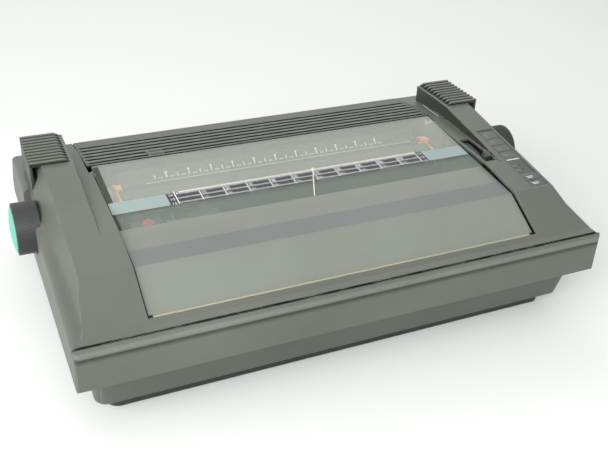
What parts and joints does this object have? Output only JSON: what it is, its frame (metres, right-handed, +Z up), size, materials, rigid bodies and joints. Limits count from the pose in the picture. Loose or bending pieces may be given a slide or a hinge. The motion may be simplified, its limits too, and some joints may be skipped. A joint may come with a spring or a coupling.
{
  "type": "daisy wheel printer",
  "caption": "Wide desktop printer with a stepped casing, a hinged smoked lid over a daisy wheel carriage, a louvred rear cover, ribbed vent caps and a platen with knobs.",
  "frame": {"origin": "on the table under the middle of the machine", "axes": "+X along the platen to the operator's right, +Y from the front to the rear, +Z up"},
  "size_m": [0.5912, 0.396, 0.1609],
  "materials": {
    "dark_casing": "fine-grained satin moulding, very dark grey",
    "smoked_plastic": "smoked, slightly see-through, satin",
    "black_rubber": "matt black",
    "cream_rubber": "matt cream",
    "steel": "zinc-plated sheet and screws",
    "bright_steel": "ground bar",
    "iron": "laminated core with wound coil",
    "black_metal": "black, satin",
    "aluminium": "cast and machined",
    "brass": "machined",
    "black_plastic": "satin black",
    "panel_black": "matt black",
    "key_plastic": "satin dark grey",
    "lamp": "clear red, unlit",
    "circuit_board": "green laminate with components",
    "cream_plastic": "natural acetal",
    "mint_plastic": "pale mint green",
    "orange_plastic": "orange",
    "red_plastic": "red",
    "ribbon_film": "black film",
    "clear_plastic": "clear"
  },
  "bodies": {
    "casing": {"lower_casing": "dark_casing", "upper_casing": "dark_casing", "rubber_feet": "black_rubber", "casing_screws": "steel", "left_vent_cap": "dark_casing", "right_vent_cap": "dark_casing", "control_panel": "panel_black", "indicator_lamps": "lamp", "key_circuit_board": "circuit_board", "base_plate": "steel", "left_side_frame": "steel", "right_side_frame": "steel", "platen_bushes": "cream_plastic", "line_feed_motor": "black_metal", "paper_guide": "black_metal", "guide_rods": "bright_steel", "drive_belt": "black_rubber", "carriage_motor": "black_metal", "idler_bracket": "steel", "main_circuit_board": "circuit_board", "transformer": "iron", "power_inlet": "black_plastic", "switch_housing": "black_plastic", "interface_connector": "steel"},
    "lid": {"lid": "smoked_plastic"},
    "rear_cover": {"rear_cover": "dark_casing"},
    "platen": {"platen_shaft": "bright_steel", "platen_roller": "black_rubber", "platen_gear": "cream_plastic", "left_platen_knob": "black_plastic", "right_platen_knob": "black_plastic", "left_knob_cap": "mint_plastic", "right_knob_cap": "mint_plastic"},
    "idler_gear": {"idler_gear": "cream_plastic"},
    "motor_pinion": {"motor_pinion": "brass"},
    "paper_bail": {"bail_rod": "bright_steel", "left_bail_arm": "orange_plastic", "right_bail_arm": "orange_plastic"},
    "bail_rollers": {"bail_rollers": "cream_rubber"},
    "roller_carrier": {"pressure_roller_carrier": "steel"},
    "pressure_rollers": {"pressure_rollers": "black_rubber"},
    "release_lever": {"release_lever": "black_plastic"},
    "carriage": {"carriage": "aluminium", "wheel_motor": "black_metal", "hammer_solenoid": "iron", "ribbon_cassette": "black_plastic", "ribbon": "ribbon_film", "card_guide": "clear_plastic"},
    "daisy_wheel": {"daisy_wheel": "black_plastic"},
    "print_hammer": {"print_hammer": "bright_steel"},
    "ribbon_winder": {"ribbon_winder": "red_plastic"},
    "drive_pulley": {"drive_pulley": "brass"},
    "idler_pulley": {"idler_pulley": "brass"},
    "power_switch": {"power_switch": "black_plastic"},
    "select_key": {"select_key": "key_plastic"},
    "pitch_key": {"pitch_key": "key_plastic"},
    "line_feed_key": {"line_feed_key": "key_plastic"},
    "form_feed_key": {"form_feed_key": "key_plastic"},
    "on_line_key": {"on_line_key": "key_plastic"},
    "self_test_key": {"self_test_key": "key_plastic"}
  },
  "joints": [
    {"name": "lid_hinge", "type": "hinge", "parent": "casing", "child": "lid", "pos_m": [0, 0.0468, 0.1375], "axis": [-1, 0, 0], "range_deg": [0, 105]},
    {"name": "rear_cover_hinge", "type": "hinge", "parent": "casing", "child": "rear_cover", "pos_m": [0, 0.138, 0.1272], "axis": [-1, 0, 0], "range_deg": [0, 70]},
    {"name": "platen_spin", "type": "hinge", "parent": "casing", "child": "platen", "pos_m": [0, 0.0103, 0.108], "axis": [1, 0, 0], "continuous": true},
    {"name": "idler_gear_spin", "type": "hinge", "parent": "casing", "child": "idler_gear", "pos_m": [-0.196, 0.02641, 0.07112], "axis": [1, 0, 0], "continuous": true},
    {"name": "motor_pinion_spin", "type": "hinge", "parent": "casing", "child": "motor_pinion", "pos_m": [-0.196, 0.03572, 0.04981], "axis": [1, 0, 0], "continuous": true},
    {"name": "bail_pivot", "type": "hinge", "parent": "casing", "child": "paper_bail", "pos_m": [0, 0.034, 0.122], "axis": [-1, 0, 0], "range_deg": [0, 10]},
    {"name": "bail_rollers_spin", "type": "hinge", "parent": "paper_bail", "child": "bail_rollers", "pos_m": [0, -0.0113, 0.1214], "axis": [1, 0, 0], "continuous": true},
    {"name": "roller_carrier_pivot", "type": "hinge", "parent": "casing", "child": "roller_carrier", "pos_m": [0, 0.04, 0.08], "axis": [1, 0, 0], "range_deg": [0, 5]},
    {"name": "pressure_rollers_spin", "type": "hinge", "parent": "roller_carrier", "child": "pressure_rollers", "pos_m": [0, 0.0103, 0.0812], "axis": [1, 0, 0], "continuous": true},
    {"name": "release_lever_pivot", "type": "hinge", "parent": "casing", "child": "release_lever", "pos_m": [0.2145, -0.025, 0.06], "axis": [-1, 0, 0], "range_deg": [0, 22]},
    {"name": "carriage_slide", "type": "slide", "parent": "casing", "child": "carriage", "axis": [1, 0, 0], "range_m": [0, 0.277]},
    {"name": "daisy_wheel_spin", "type": "hinge", "parent": "carriage", "child": "daisy_wheel", "pos_m": [-0.138, -0.0136, 0.0745], "axis": [0, 1, 0], "continuous": true},
    {"name": "hammer_stroke", "type": "slide", "parent": "carriage", "child": "print_hammer", "axis": [0, 1, 0], "range_m": [0, 0.0012], "stiffness_N_per_m": 200, "springref_m": -0.0005},
    {"name": "ribbon_winder_spin", "type": "hinge", "parent": "carriage", "child": "ribbon_winder", "pos_m": [-0.168, -0.04, 0.114], "axis": [0, 0, 1], "continuous": true},
    {"name": "drive_pulley_spin", "type": "hinge", "parent": "casing", "child": "drive_pulley", "pos_m": [0.165, -0.094, 0.0325], "axis": [0, 1, 0], "range_deg": [0, 1790]},
    {"name": "idler_pulley_spin", "type": "hinge", "parent": "casing", "child": "idler_pulley", "pos_m": [-0.165, -0.094, 0.0325], "axis": [0, 1, 0], "range_deg": [0, 1790]},
    {"name": "power_switch_rock", "type": "hinge", "parent": "casing", "child": "power_switch", "pos_m": [0.15, 0.177, 0.038], "axis": [-1, 0, 0], "range_deg": [0, 16]},
    {"name": "select_key_press", "type": "slide", "parent": "casing", "child": "select_key", "axis": [0, 0.1503, -0.9886], "range_m": [0, 0.0006], "stiffness_N_per_m": 400, "springref_m": -0.0004},
    {"name": "pitch_key_press", "type": "slide", "parent": "casing", "child": "pitch_key", "axis": [0, 0.1503, -0.9886], "range_m": [0, 0.0006], "stiffness_N_per_m": 400, "springref_m": -0.0004},
    {"name": "line_feed_key_press", "type": "slide", "parent": "casing", "child": "line_feed_key", "axis": [0, 0.1503, -0.9886], "range_m": [0, 0.0006], "stiffness_N_per_m": 400, "springref_m": -0.0004},
    {"name": "form_feed_key_press", "type": "slide", "parent": "casing", "child": "form_feed_key", "axis": [0, 0.1503, -0.9886], "range_m": [0, 0.0006], "stiffness_N_per_m": 400, "springref_m": -0.0004},
    {"name": "on_line_key_press", "type": "slide", "parent": "casing", "child": "on_line_key", "axis": [0, 0.1503, -0.9886], "range_m": [0, 0.0006], "stiffness_N_per_m": 400, "springref_m": -0.0004},
    {"name": "self_test_key_press", "type": "slide", "parent": "casing", "child": "self_test_key", "axis": [0, 0.1503, -0.9886], "range_m": [0, 0.0006], "stiffness_N_per_m": 400, "springref_m": -0.0004}
  ],
  "couplings": [
    {"joint": "idler_gear_spin", "follows": "platen_spin", "ratio": -1.6667},
    {"joint": "motor_pinion_spin", "follows": "platen_spin", "ratio": 3.125},
    {"joint": "pressure_rollers_spin", "follows": "platen_spin", "ratio": -2.7857},
    {"joint": "roller_carrier_pivot", "follows": "release_lever_pivot", "ratio": 0.227},
    {"joint": "drive_pulley_spin", "follows": "carriage_slide", "rad_per_m": 111.1},
    {"joint": "idler_pulley_spin", "follows": "carriage_slide", "rad_per_m": 111.1}
  ]
}
